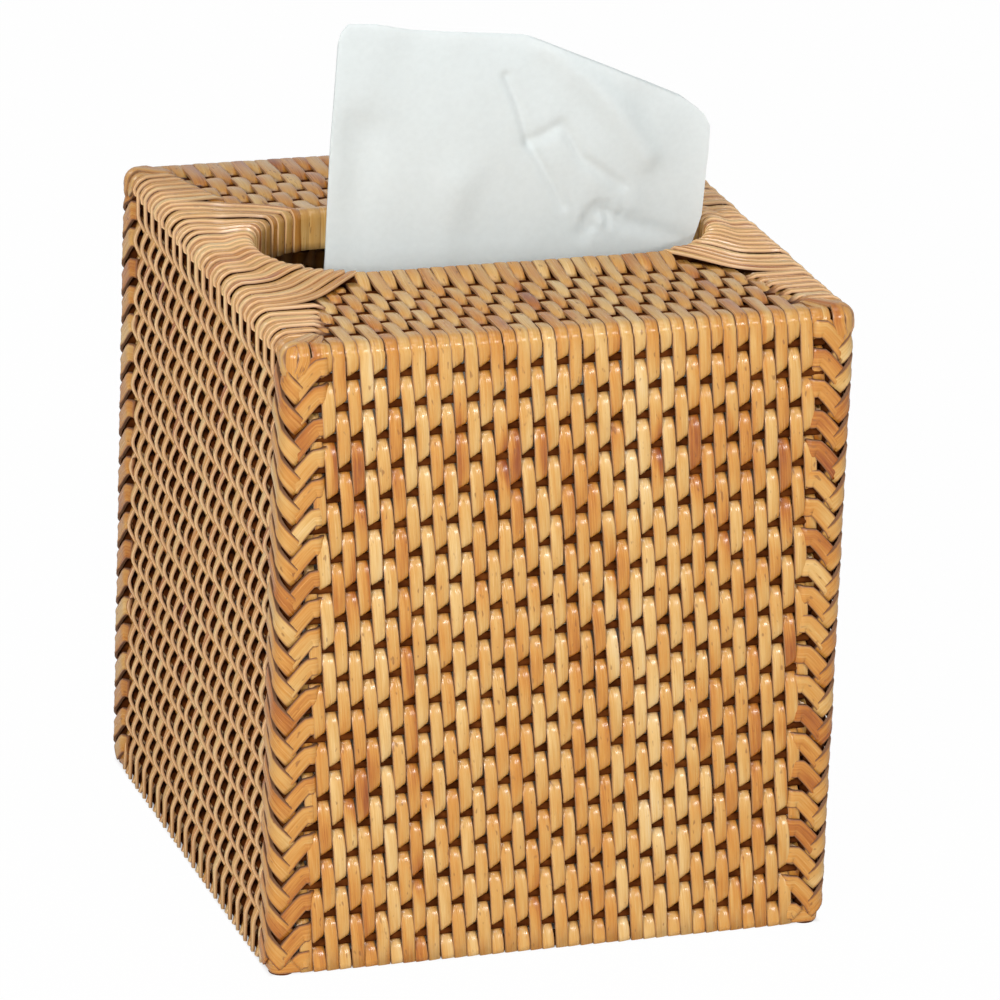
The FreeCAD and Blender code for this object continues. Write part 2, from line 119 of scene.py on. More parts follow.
def wall_matrix(side):
    """From a wall drawn with its face on y = 0 to its place in the cover."""
    wall = WALLS[side]
    turn = Matrix.Rotation(math.radians(wall["turn"]), 4, "Z")
    return turn @ Matrix.Translation((0, -wall["reach"], 0))


def wall_half(side):
    """Half of the length that a wall's strips take up between the corners."""
    return (half_width if side in ("front", "back") else half_depth) - WALL_END


# Camera

CAMERA_PLACE = Vector((-0.53075, -1.57192, 0.70192))
CAMERA_AIM = Vector((0.00753, 0.0, 0.09023))
CAMERA_ROLL = math.radians(2.167)
CAMERA_LENS = 256.9


def make_camera():
    data = bpy.data.cameras.new("camera")
    data.sensor_width = 36.0
    data.lens = CAMERA_LENS
    data.clip_start = 0.01
    data.clip_end = 50.0
    camera = bpy.data.objects.new("camera", data)
    bpy.context.scene.collection.objects.link(camera)
    back = (CAMERA_PLACE - CAMERA_AIM).normalized()
    turn = back.to_track_quat("Z", "Y").to_matrix().to_4x4()
    camera.matrix_world = Matrix.Translation(CAMERA_PLACE) @ turn @ Matrix.Rotation(CAMERA_ROLL, 4, "Z")
    bpy.context.scene.camera = camera


# Mesh helpers

MERGE_GAP = 1e-7


def smoothstep(t):
    t = min(1.0, max(0.0, t))
    return t * t * (3 - 2 * t)


def near_start(t, parts):
    """1 at the start of a strip, 0 once the first of so many parts of it has passed."""
    return smoothstep(1 - t * parts)


def near_end(t, parts):
    """0 up to the last of so many parts of a strip, 1 at its end."""
    return near_start(1 - t, parts)


def along_points(points, at):
    """Height of a broken line of (place, height) points."""
    for (x0, y0), (x1, y1) in zip(points, points[1:]):
        if at <= x1:
            return y0 + (y1 - y0) * max(0.0, at - x0) / (x1 - x0)
    return points[-1][1]


def new_strip_mesh():
    """Empty mesh whose vertices carry what the peel's material reads."""
    bm = bmesh.new()
    # The fourth attribute holds painted shade for the peel's material
    for name in ("tone", "along", "across", "painted_shade"):
        bm.verts.layers.float.new(name)
    return bm


def lay_strip(bm, route, width, thickness, tone, edge_shade):
    """Sweep one flat strip along a route of (place, outward, painted shade, width share) rings, with painted
    shade on its cut edges.
    """
    sides = len(SECTION)
    rings = len(route)
    grid = bmesh.ops.create_grid(bm, x_segments=sides, y_segments=rings - 1, size=0.5)
    verts = grid["verts"]
    layers = bm.verts.layers.float
    travelled = 0.0
    for j in range(rings):
        place, out, painted_shade, share = route[j]
        before = route[max(0, j - 1)][0]
        after = route[min(rings - 1, j + 1)][0]
        ahead = (after - before).normalized()
        side = ahead.cross(out).normalized()
        face = side.cross(ahead)
        if j:
            travelled += (place - before).length
        for i in range(sides + 1):
            across, depth, shade = SECTION[i % sides]
            vert = verts[j * (sides + 1) + i]
            vert.co = place + side * (across * width * share) + face * (depth * thickness)
            vert[layers["tone"]] = tone
            vert[layers["along"]] = travelled
            vert[layers["across"]] = across
            # Painted shade: darker where a strip goes in under a rod, on its hidden face and lower edges, and
            # on shaded cut edges
            vert[layers["painted_shade"]] = max(painted_shade, shade, edge_shade if i in CUT_EDGES else 0.0)
    for j in range(rings - 1):
        for i in CUT_EDGES:
            first = verts[j * (sides + 1) + i]
            bm.edges.get((first, verts[(j + 1) * (sides + 1) + i])).smooth = False


def close_seams(bm, sides):
    """Merge a mesh where its seams meet and fill its open ends."""
    bmesh.ops.remove_doubles(bm, verts=bm.verts, dist=MERGE_GAP)
    open_edges = [e for e in bm.edges if e.is_boundary]
    bmesh.ops.holes_fill(bm, edges=open_edges, sides=sides)


def finish_strips(bm, name, matrix, material):
    """Close the strips in a mesh and make it a piece at its place in the cover."""
    close_seams(bm, len(SECTION))
    bmesh.ops.transform(bm, matrix=matrix, verts=bm.verts)
    bmesh.ops.recalc_face_normals(bm, faces=bm.faces)
    return make_piece(bm, name, material)


def make_piece(bm, name, material, smooth=True):
    """Turn a finished mesh into an object of the scene."""
    for face in bm.faces:
        face.smooth = smooth
    mesh = bpy.data.meshes.new(name)
    bm.to_mesh(mesh)
    bm.free()
    mesh.materials.append(material)
    piece = bpy.data.objects.new(name, mesh)
    bpy.context.scene.collection.objects.link(piece)
    return piece


# Routes of the strips, drawn on a wall that faces -Y: x along the wall, y inwards, z up

# A strip under a rod: (mm along the strip from the rod's middle, share of the way in, twist)
WALL_DIVE = [
    (-6.6, 0.0, -0.02), (-5.4, 0.03, -0.04), (-4.4, 0.08, -0.06), (-3.5, 0.16, -0.08),
    (-2.7, 0.26, -0.08), (-2.1, 0.37, -0.06), (-1.5, 0.52, -0.03), (-1.1, 0.66, 0.0),
    (-0.7, 0.82, 0.0), (0.0, 0.97, 0.0), (0.6, 0.8, 0.1), (0.95, 0.55, 0.2),
    (1.15, 0.36, 0.26), (1.5, 0.22, 0.26), (2.1, 0.12, 0.22), (3.1, 0.06, 0.16),
    (4.4, 0.02, 0.08), (6.0, 0.0, 0.02),
]
SIDE_DIVE = [
    (-6.6, 0.05, 0.0), (-5.6, 0.16, 0.0), (-4.6, 0.29, 0.0), (-3.6, 0.43, 0.0), (-2.6, 0.58, 0.0),
    (-1.7, 0.73, 0.0), (-0.9, 0.88, 0.0), (0.0, 0.97, 0.0), (0.9, 0.88, 0.0), (1.7, 0.73, 0.0),
    (2.6, 0.58, 0.0), (3.6, 0.43, 0.0), (4.6, 0.29, 0.0), (5.6, 0.16, 0.0), (6.6, 0.05, 0.0),
]
TOP_DIVE = [
    (-4.6, 0.04, 0.0), (-3.2, 0.14, 0.0), (-2.1, 0.3, 0.0), (-1.3, 0.55, 0.0), (-0.8, 0.8, 0.0),
    (0.0, 0.97, 0.0), (0.8, 0.8, 0.0), (1.3, 0.55, 0.0), (2.1, 0.3, 0.0), (3.2, 0.14, 0.0),
    (4.6, 0.04, 0.0),
]
# Shares of the way in at which the painted shade of the pockets starts, and the run over which it deepens
TOP_SHADE_START = 0.3
WALL_SHADE_START = 0.38
SIDE_SHADE_START = 0.55
SHADE_RUN = 0.4
# How fast a side strip's twist turns back as it goes in
TWIST_BACK = 1.4


def weave(start, stations, over_first, end, dive):
    """(station, share of the way in, twist) points of a strip that passes over and under rods in turn."""
    points = []
    for k, station in enumerate(stations):
        if (k % 2 == 0) == over_first:
            points.append((station, 0.0, 0.0))
        else:
            points += [(station + reach * MM, share, twist) for reach, share, twist in dive]
    between = [p for p in points if start + END_RUN <= p[0] <= end - END_RUN]
    return [(start, 0.0, 0.0), *between, (end, 0.0, 0.0)]


def painted_depth_shade(share, start):
    """Painted shade of a strip at a share of its way in under a rod."""
    return smoothstep((share - start) / SHADE_RUN)


def upright_route(x, lean, turned, over_first, edge):
    """Up a wall: outside the base rail, over and under the stakes, to the top edge's bend."""
    dive, shade_start = (SIDE_DIVE, SIDE_SHADE_START) if turned else (WALL_DIVE, WALL_SHADE_START)
    route = []
    for height, share, twist in weave(FLOOR_GAP, stake_heights, over_first, cover_height - edge, dive):
        depth = over_depth + (under_depth - over_depth) * share
        place = Vector((x - lean * (height - cover_height / 2), depth, height))
        out = Vector((twist + turned * (1 - TWIST_BACK * share), -1, 0)).normalized()
        route.append((place, out, painted_depth_shade(share, shade_start), 1.0))
    return route


def edge_bend(x, turned, edge):
    """Round the top edge, from the wall to the top."""
    middle = Vector((x, edge, cover_height - edge))
    route = []
    for k in range(1, BEND_RINGS):
        turn = math.pi / 2 * k / BEND_RINGS
        out = Vector((0, -math.cos(turn), math.sin(turn)))
        facing = (out + Vector((turned, 0, 0))).normalized()
        route.append((middle + out * (edge - over_depth), facing, 0.0, 1.0))
    return route


# A leaning strip's end under the lacing: how far past the corner line it goes on, how far it sinks,
# where that starts before the line, and its run
LACED_PAST = 1.5 * MM
LACED_SINK = 2.2 * MM
LACED_LEAD = 2.5 * MM
LACED_RUN = 4.0 * MM


def under_lacing(route, half):
    """The part of a leaning strip between a wall's corners, sunk under the lacing at its ends."""
    laid = []
    for place, out, painted_shade, share in route:
        past = abs(place.x) - half
        if past > LACED_PAST:
            continue
        sink = LACED_SINK * smoothstep((past + LACED_LEAD) / LACED_RUN)
        laid.append((place + Vector((0, sink, 0)), out, painted_shade, share))
    return laid


def over_rim(crest, inward, tilt, share):
    """From the rim's crest round its band and down the mouth's inner wall."""
    middle = crest - UP * rim_bend
    route = []
    for k in range(1, BEND_RINGS + 1):
        turn = math.pi / 2 * k / BEND_RINGS
        out = inward * math.sin(turn) + UP * math.cos(turn)
        route.append((middle + out * rim_bend, (out + tilt).normalized(), 0.0, share))
    inner = route[-1][0]
    drop = inner.z - wrap_low.z
    for k in range(1, WALL_RINGS + 1):
        route.append((inner - UP * drop * k / WALL_RINGS, (inward + tilt).normalized(), 0.0, share))
    return route


# Border between the top panels and the side strips, as (from the middle plane, from the wall's face)
BORDER = [(63.0 * MM, 2.0 * MM), (53.0 * MM, 32.0 * MM), (42.0 * MM, 50.0 * MM)]
# Panel strips: half of the stretch that reaches the rim; the others' length and depth under the fan and
# their gap to the rim; and the least gap from a strip's end to a rod, in rod pitches
PANEL_REACH = 41.0 * MM
PANEL_TUCK = 5.5 * MM
PANEL_SINK = 0.3
RIM_CLEAR = 3.5 * MM
ROD_CLEAR = 0.45
# Fan strips: half of the stretch that they start on, turn of the outermost one round the mouth's end, how far
# they aim at that end's middle, pull of their curve, part that rises, tilt, width at the rim, and most lift
FAN_HALF = 40.0 * MM
FAN_TURN = math.radians(76)
FAN_AIM = 0.55
FAN_PULL = 0.4
FAN_RISE_PARTS = 1.6
FAN_TILT = 0.22
FAN_SHARE = 0.82
FAN_LIFT = 0.45 * MM
# Fill strips: length under the panel, where they start to sink before their end, the run of that, which also
# lays painted shade on them, and its depth
FILL_TUCK = 3.0 * MM
FILL_LEAD = 4.8 * MM
FILL_RUN = 3.9 * MM
FILL_SINK = 1.6 * MM


def border_depth(x):
    """Depth from the front face at which the panel gives way to the side strips."""
    far = abs(x)
    for (x0, d0), (x1, d1) in zip(BORDER, BORDER[1:]):
        if x1 <= far <= x0:
            return d0 + (d1 - d0) * (x0 - far) / (x0 - x1)
    return BORDER[0][1] if far > BORDER[0][0] else BORDER[-1][1]


def border_reach(y):
    """Depth from a side face at which a fill strip meets the top panel."""
    depth = half_depth - abs(y)
    (x0, d0), (x1, d1) = BORDER[0], BORDER[1]
    far = x0 + (x1 - x0) * (depth - d0) / (d1 - d0)
    return half_width - far


def panel_route(x, over_first):
    """From the top edge over and under the top rods, then over the rim or under the fan."""
    reaches_rim = abs(x) <= PANEL_REACH
    beyond = max(0.0, abs(x) - mouth_half_straight)
    if reaches_rim:
        end = border = half_depth - math.sqrt(rim_middle ** 2 - beyond ** 2)
    else:
        border = border_depth(x)
        end = min(border + PANEL_TUCK, half_depth - rim_middle - RIM_CLEAR)
    depths = [d for d in top_depths if d < border - top_pitch * ROD_CLEAR]
    rise = rim_crest - strip_top
    route = []
    for depth, share, _ in weave(rail_depth, depths, over_first, end, TOP_DIVE):
        if not reaches_rim:
            share = max(share, PANEL_SINK * smoothstep((depth - border + PANEL_TUCK) / PANEL_TUCK))
        height = cover_height - over_depth - (under_depth - over_depth) * share
        if reaches_rim:
            height += rise * smoothstep((depth - end + top_pitch) / top_pitch)
        route.append((Vector((x, depth, height)), UP.copy(), painted_depth_shade(share, TOP_SHADE_START), 1.0))
    if reaches_rim:
        inward = Vector((0, 1, 0))
        if abs(x) > mouth_half_straight:
            inward = Vector((math.copysign(mouth_half_straight, x) - x, half_depth - end, 0)).normalized()
        route += over_rim(route[-1][0], inward, Vector(), 1.0)
    return route


def fan_route(x, slant):
    """From a side's top edge in a curve to the mouth's rounded end and over its rim."""
    turn = FAN_TURN * x / FAN_HALF
    centre = Vector((0, half_width - mouth_half_straight, 0))
    outward = Vector((math.sin(turn), -math.cos(turn), 0))
    start = Vector((x, SIDE_EDGE, 0))
    end = centre + outward * rim_middle
    heading = (Vector((0, 1, 0)) * (1 - FAN_AIM) - outward * FAN_AIM).normalized()
    span = (end - start).length
    first = start + Vector((0, span * FAN_PULL, 0))
    second = end - heading * span * FAN_PULL
    route = []
    for k in range(FAN_RINGS + 1):
        t = k / FAN_RINGS
        place = start * (1 - t) ** 3 + first * 3 * t * (1 - t) ** 2
        place += second * 3 * t * t * (1 - t) + end * t ** 3
        place.z = strip_top + (rim_crest - strip_top) * near_end(t, FAN_RISE_PARTS)
        way = Vector((0, 1, 0)).lerp(heading, t)
        tilt = Vector((way.y, -way.x, 0)) * slant
        share = 1 + (FAN_SHARE - 1) * t
        route.append((place, (UP + tilt).normalized(), 0.0, share))
    inward_tilt = Vector((outward.y, -outward.x, 0)) * -slant
    return route + over_rim(route[-1][0], -outward, inward_tilt, FAN_SHARE)


def fill_route(x, slant):
    """From a side's top edge straight to the top panel, tucked under its first strip, darkened with painted
    shade as it sinks.
    """
    reach = border_reach(x) + FILL_TUCK
    route = []
    for k in range(FILL_RINGS + 1):
        depth = SIDE_EDGE + (reach - SIDE_EDGE) * k / FILL_RINGS
        share = smoothstep((depth - reach + FILL_LEAD) / FILL_RUN)
        out = (UP + Vector((slant, 0, 0))).normalized()
        route.append((Vector((x, depth, strip_top - FILL_SINK * share)), out, share, 1.0))
    return route


# Unevenness of a strip: the length of its waves, and the most that it tilts, widens and lifts
WAVE_LENGTH = 16 * MM
WAVE_SEEDS = 50
WAVE_TILT = 0.14
WAVE_WIDER = 0.08
WAVE_LIFT = 0.2 * MM
TILT_SEED = Vector((7, 3, 0))
WIDER_SEED = Vector((1, 9, 0))
LIFT_SEED = Vector((4, 5, 0))


def swayed(route, rng, amount):
    """Give a route a hand-made unevenness: sway along the wall, tilt, width and lift."""
    seed = Vector((rng.uniform(0, WAVE_SEEDS), rng.uniform(0, WAVE_SEEDS), 0))
    laid = []
    for place, out, painted_shade, share in route:
        at = seed + Vector((0, 0, (place.z + place.y) / WAVE_LENGTH))
        sway = noise.noise(at) * amount
        tilt = noise.noise(at + TILT_SEED) * WAVE_TILT
        wider = 1 + noise.noise(at + WIDER_SEED) * WAVE_WIDER
        lift = noise.noise(at + LIFT_SEED) * WAVE_LIFT
        moved = place + Vector((sway, 0, 0)) + out * lift
        laid.append((moved, (out + Vector((tilt, 0, 0))).normalized(), painted_shade, share * wider))
    return laid


# Tones of the strips from dark to pale, their sway along the wall, and the painted shade on their cut edges
TONES = [0.56, 0.5, 0.62, 0.46, 0.68, 0.56, 0.42, 0.76, 0.52, 0.58]
TONE_SPREAD = 0.05
SWAY = 0.3 * MM
SIDE_SWAY = 0.55 * MM
EDGE_SHADE = 0.5


def pick_tone(rng):
    return rng.choice(TONES) + rng.uniform(-TONE_SPREAD, TONE_SPREAD)


def top_route(side, x, over_first):
    """A strip's way over the top, from its wall's top edge on."""
    if side in ("front", "back"):
        return panel_route(x, over_first)
    slant = math.copysign(FAN_TILT, WALLS[side]["twist"])
    return fan_route(x, slant) if abs(x) <= FAN_HALF else fill_route(x, slant)


def wall_strips(side, material):
    """Strips of one wall and of the top beyond it, each in one length."""
    rng = random.Random(side)
    bm = new_strip_mesh()
    half = wall_half(side)
    pitch = 2 * half / STRIPS
    lean = LEAN_COLUMNS * pitch / cover_height
    edge, width, turned = (WALLS[side][key] for key in ("edge", "width", "twist"))
    # Front and back strips get painted shade on their cut edges, side strips none
    sway, edge_shade = (SIDE_SWAY, 0.0) if turned else (SWAY, EDGE_SHADE)
    extra = LEAN_COLUMNS // 2
    for i in range(-extra, STRIPS + extra):
        x = (i - (STRIPS - 1) / 2) * pitch
        route = under_lacing(upright_route(x, lean, turned, i % 2 == 0, edge), half)
        if i >= extra:
            x_top = x - extra * pitch
            over = edge_bend(x_top, turned, edge) + top_route(side, x_top, (i + STAKES) % 2 == 0)
            lift = FAN_LIFT * rng.random() if turned else 0.0
            route += [(place + out * lift, out, painted_shade, share) for place, out, painted_shade, share in over]
        if len(route) > 2:
            laid = swayed(route, rng, sway)
            lay_strip(bm, laid, width, STRIP_THICKNESS, pick_tone(rng), edge_shade)
    piece = finish_strips(bm, side + "_strips", wall_matrix(side), material)
    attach(piece, "cover")
    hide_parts(side + "_weavers", "mouth_" + side + "_wraps")
    return piece


# Corner lacing: arms from both walls that meet in chevrons, drawn round the front left corner

LACING_WIDTH = 4.2 * MM
CORNER_RADIUS = 3.2 * MM
LACING_RINGS = 16
# Painted shade on the cut edges of the lacing's arms
LACING_SHADE = 0.8
LACING_DARKER = 0.09
LACING_UNEVEN = 0.35 * MM
# The strip round the foot of the corner: height, depth, and mm along the faces to each side
LACING_FOOT = 2.6 * MM
FOOT_DEPTH = 1.2 * MM
FOOT_REACH = 10
# Arms: face that they start on, share of a stake's pitch that they are set up by, start and end in mm along
# the faces from the corner, drop in mm, and the share of their length that is level
FRONT_ARM = {"hand": 1, "shift": 0.5, "start": 10.2, "end": 1.0, "drop": 7.6, "level": 0.32}
SIDE_ARM = {"hand": -1, "shift": 0.0, "start": 10.2, "end": -3.6, "drop": 12.0, "level": 0.12}
# How an arm lies: its depth, how far its root and its point go in, the root's painted shade and extra width,
# and the parts of its length for each
ARM_CURVE = 0.2
ARM_DEPTH = 0.5 * MM
ROOT_DEPTH = 1.3 * MM
ROOT_PARTS = 6
ROOT_SHADE = 0.6
ROOT_SHADE_PARTS = 9
ROOT_WIDER = 0.14
ROOT_WIDER_PARTS = 2.4
POINT_DEPTH = 0.9 * MM
POINT_PARTS = 5
# Side arms lie over front arms, but at the crown of the corner the front arms come over them
SIDE_LIFT = 0.35 * MM
SIDE_CROWN_DROP = 1.25 * MM
FRONT_CROWN_LIFT = 0.45 * MM
CROWN_DOWN = 9.0 * MM
CROWN_RUN = 4.0 * MM
ARM_TOP_GAP = 1.1 * CORNER_RADIUS
highest_arm = cover_height - ARM_TOP_GAP


def round_corner(u, sink):
    """Place and outward direction on the rounded corner at the origin, u along the faces from it."""
    radius = CORNER_RADIUS
    quarter = radius * math.pi / 4
    if u > quarter:
        return Vector((u - quarter + radius, sink, 0)), Vector((0, -1, 0))
    if u < -quarter:
        return Vector((sink, -u - quarter + radius, 0)), Vector((-1, 0, 0))
    turn = u / radius + math.radians(45)
    out = Vector((-math.cos(turn), -math.sin(turn), 0))
    return Vector((radius, radius, 0)) + out * (radius - sink), out


def lacing_arm(top, arm):
    """One arm: level as it leaves a wall's first strip, then down to the chevron's point."""
    route = []
    for k in range(LACING_RINGS + 1):
        t = k / LACING_RINGS
        u = (arm["start"] + (arm["end"] - arm["start"]) * t) * MM
        fall = max(0.0, t - arm["level"]) / (1 - arm["level"])
        height = top - arm["drop"] * MM * (ARM_CURVE * fall ** 2 + (1 - ARM_CURVE) * fall)
        if not LACING_FOOT <= height <= highest_arm:
            continue
        crown = smoothstep((height - cover_height + CROWN_DOWN) / CROWN_RUN)
        on_top = FRONT_CROWN_LIFT * crown
        if arm is SIDE_ARM:
            on_top = SIDE_LIFT - SIDE_CROWN_DROP * crown
        sink = ARM_DEPTH - on_top
        sink += ROOT_DEPTH * near_start(t, ROOT_PARTS) + POINT_DEPTH * near_end(t, POINT_PARTS)
        place, out = round_corner(u * arm["hand"], sink)
        place.z = height
        painted_shade = ROOT_SHADE * near_start(t, ROOT_SHADE_PARTS)
        route.append((place, out, painted_shade, 1 + ROOT_WIDER * near_start(t, ROOT_WIDER_PARTS)))
    return route


# Broad strips that radiate over a top corner: (mm along the faces at the edge, mm down the corner)
CORNER_STRIPS = [(7.2, 3.0), (3.8, 5.0), (0.6, 7.5), (-3.0, 5.0), (-6.6, 4.0)]
CORNER_STRIP_WIDTH = 2.9 * MM
CORNER_LIFT = 0.45 * MM
# Where they start under the top panel: place, depth, painted shade, how much narrower, and the parts of the way
# for each
CORNER_START = Vector((11.0, 10.0, 0)) * MM
CORNER_START_DEPTH = 1.5 * MM
CORNER_START_PARTS = 4
CORNER_SHADE_PARTS = 5
CORNER_NARROWER = 0.3
CORNER_NARROW_PARTS = 2
# Where they end: the tip that they draw in to, the share of the way to it, and how far they go in
CORNER_TIP = 1.2 * MM
CORNER_GATHER = 0.6
CORNER_END_DEPTH = 0.9 * MM
CORNER_END_PARTS = 2


def corner_strip(u, down, lift):
    """From the top panel's corner outwards, over the rounded edge and down."""
    edge = CORNER_RADIUS
    bend = edge - over_depth + lift
    brink = round_corner(u, edge)[0]
    route = []
    for k in range(FILL_RINGS):
        t = k / FILL_RINGS
        place = CORNER_START.lerp(brink, t)
        place.z = strip_top + lift - CORNER_START_DEPTH * near_start(t, CORNER_START_PARTS)
        share = 1 - CORNER_NARROWER * near_start(t, CORNER_NARROW_PARTS)
        route.append((place, UP.copy(), near_start(t, CORNER_SHADE_PARTS), share))
    for k in range(BEND_RINGS + 1):
        turn = math.pi / 2 * k / BEND_RINGS
        place, out = round_corner(u, edge - bend * math.sin(turn))
        place.z = cover_height - edge + bend * math.cos(turn)
        route.append((place, out * math.sin(turn) + UP * math.cos(turn), 0.0, 1.0))
    for k in range(1, WALL_RINGS + 1):
        t = k / WALL_RINGS
        sink = over_depth - lift + CORNER_END_DEPTH * near_end(t, CORNER_END_PARTS)
        place, out = round_corner(u + (CORNER_TIP - u) * CORNER_GATHER * t, sink)
        place.z = cover_height - edge - down * t
        route.append((place, out, 0.0, 1.0))
    return route


def corner_lacing(corner, matrix, material):
    """Arms up one corner, the strip round its foot and the strips over its top."""
    rng = random.Random(corner)
    bm = new_strip_mesh()
    for k in range(-1, STAKES + 1):
        level = stake_heights[0] + stake_pitch * k
        for arm in (FRONT_ARM, SIDE_ARM):
            top = level + stake_pitch * arm["shift"] + rng.uniform(-LACING_UNEVEN, LACING_UNEVEN)
            route = lacing_arm(top, arm)
            if len(route) > 2:
                tone = pick_tone(rng) - LACING_DARKER
                laid = swayed(route, rng, 0.0)
                lay_strip(bm, laid, LACING_WIDTH, STRIP_THICKNESS, tone, LACING_SHADE)
    foot = [round_corner(u * MM, FOOT_DEPTH) for u in range(-FOOT_REACH, FOOT_REACH + 1)]
    route = [(place + UP * LACING_FOOT, out, 0.0, 1.0) for place, out in foot]
    lay_strip(bm, route, LACING_WIDTH, STRIP_THICKNESS, pick_tone(rng), EDGE_SHADE)
    for n, (u, down) in enumerate(CORNER_STRIPS):
        laid = swayed(corner_strip(u * MM, down * MM, CORNER_LIFT * (n % 2)), rng, 0.0)
        lay_strip(bm, laid, CORNER_STRIP_WIDTH, STRIP_THICKNESS, pick_tone(rng), EDGE_SHADE)
    piece = finish_strips(bm, corner + "_corner_lacing", matrix, material)
    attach(piece, "cover")
    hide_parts(corner + "_lacing")


# The tissue: one sheet folded in half, its fold on the left, that stands out of the film's slit; sizes in mm

TISSUE_COLUMNS = 120
TISSUE_ROWS = 160
TISSUE_LOW = 57.3
# Left and right edge as (height, x) and upper edge as (x, height)
TISSUE_LEFT = [(57.0, -43.0), (134.0, -43.0), (187.0, -41.7), (219.0, -40.6)]
TISSUE_RIGHT = [(57.0, 47.0), (134.0, 47.0), (150.0, 50.0), (164.0, 54.3), (180.0, 55.6), (219.0, 56.3)]
TISSUE_TOP = [
    (-40.7, 213.0), (-40.2, 216.0), (-38.4, 218.3), (-31.2, 217.8), (-21.6, 215.6), (7.4, 212.6),
    (12.0, 211.0), (30.4, 202.8), (49.1, 193.9), (54.5, 189.8), (56.3, 186.5),
]
# Columns crowd towards the fold, rows towards the upper edge
FOLD_CROWDING = 1.15
TOP_CROWDING = 0.8
# Above the slit the sheet leans to the front and is loose, and its right edge swings back
TISSUE_LEAN = -8.6
LEAN_FROM = 131
LEAN_RUN = 30
LOOSE_FROM = 138
LOOSE_RUN = 50
SWING = 3.2
SWING_FROM = 0.55
# Half of the gap between the plies, what a loose right edge adds to it, and the share that the fold takes
PLY_GAP = 0.45
PLY_SPREAD = 1.6
FOLD_SHARE = 0.03
# Waves in the sheet: depth, length across, length up, and a seed
BROAD_WAVES = (2.6, 30, 60, (3.1, 0, 0.4))
FINE_WAVES = (0.5, 9, 14, (0, 0, 7.0))
CRINKLES = (0.9, 1.9, 2.6, (0, 0, 2.0))
CRINKLES_MIDDLE = (28, 166)
CRINKLES_REACH = (7, 5)
# Creases: (x, z) points, depth in mm, width in mm
CREASES = [
    ([(2.0, 203.0), (5.5, 194.8), (8.4, 186.0), (14.7, 174.9), (17.5, 169.0)], 1.1, 1.2),
    ([(8.4, 185.6), (16.7, 190.2), (22.0, 181.0), (33.0, 173.0)], 1.0, 1.5),
    ([(12.0, 210.4), (22.7, 200.8), (32.3, 190.5), (38.6, 180.5)], -1.6, 3.6),
    ([(23.0, 161.5), (27.0, 168.0), (33.0, 164.0), (50.0, 158.0)], 1.6, 2.2),
    ([(-36.0, 160.0), (-33.0, 190.0)], 1.5, 6.0),
    ([(-14.0, 150.0), (-10.0, 176.0)], -1.3, 5.0),
]


def crease_depth(x, z):
    """Depth that the creases give the sheet at a spot."""
    total = 0.0
    spot = Vector((x, z))
    for points, depth, width in CREASES:
        nearest = math.inf
        for a, b in zip(points, points[1:]):
            start, way = Vector(a), Vector(b) - Vector(a)
            t = min(1.0, max(0.0, (spot - start).dot(way) / way.length_squared))
            nearest = min(nearest, (spot - start - way * t).length)
        total += depth * math.exp(-(nearest / width) ** 2)
    return total


def wave_depth(x, z, waves):
    """Depth that one kind of wave gives the sheet at a spot."""
    depth, across, up, seed = waves
    return depth * noise.noise(Vector((x / across, z / up, 0)) + Vector(seed))


def tissue_spot(s, v, ply):
    """Place on the sheet: s from its left to its right edge, v from its foot up, ply -1 front, 1 back."""
    top_left, top_right = TISSUE_TOP[0][0], TISSUE_TOP[-1][0]
    top = along_points(TISSUE_TOP, top_left + (top_right - top_left) * s)
    z = TISSUE_LOW + (top - TISSUE_LOW) * v
    left = along_points(TISSUE_LEFT, z)
    x = left + (along_points(TISSUE_RIGHT, z) - left) * s
    loose = smoothstep((z - LOOSE_FROM) / LOOSE_RUN)
    y = TISSUE_LEAN * smoothstep((z - LEAN_FROM) / LEAN_RUN)
    y += loose * SWING * smoothstep((s - SWING_FROM) / (1 - SWING_FROM))
    y += loose * (wave_depth(x, z, BROAD_WAVES) + wave_depth(x, z, FINE_WAVES) + crease_depth(x, z))
    (middle_x, middle_z), (reach_x, reach_z) = CRINKLES_MIDDLE, CRINKLES_REACH
    crinkled = math.exp(-((x - middle_x) / reach_x) ** 2 - ((z - middle_z) / reach_z) ** 2)
    y += crinkled * wave_depth(x, z, CRINKLES)
    gap = PLY_GAP + PLY_SPREAD * loose * s
    y += ply * gap * math.sqrt(min(1.0, s / FOLD_SHARE))
    return Vector((x, y, z)) * MM


def stand_tissue(material):
    """Both plies in one grid, from the front ply's right edge round the fold to the back ply's."""
    bm = bmesh.new()
    columns = 2 * TISSUE_COLUMNS
    grid = bmesh.ops.create_grid(bm, x_segments=columns, y_segments=TISSUE_ROWS, size=0.5)
    for j in range(TISSUE_ROWS + 1):
        for i in range(columns + 1):
            ply = -1 if i < TISSUE_COLUMNS else 1
            s = (abs(i - TISSUE_COLUMNS) / TISSUE_COLUMNS) ** FOLD_CROWDING
            v = (j / TISSUE_ROWS) ** TOP_CROWDING
            grid["verts"][j * (columns + 1) + i].co = tissue_spot(s, v, ply)
    bm.faces.ensure_lookup_table()
    bm.normal_update()
    if bm.faces[0].normal.y > 0:
        bmesh.ops.reverse_faces(bm, faces=bm.faces)
    piece = make_piece(bm, "tissue_sheet", material)
    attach(piece, "tissue")
    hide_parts("standing_tissue")


# The folded tissues left in the carton

STACK_LAYERS = 46
STACK_RADIUS = 5.0 * MM
STACK_AROUND = 15
# Insets of the stack's outline: at its foot, at most for one tissue, and over its top
FOOT_INSET = 2.5 * MM
LAYER_INSET = 0.9 * MM
TOP_INSETS = [8 * MM, 20 * MM, 40 * MM]
# Inset that the rounded corners take up; beyond it the whole outline shrinks
ROUND_INSET = 4 * MM
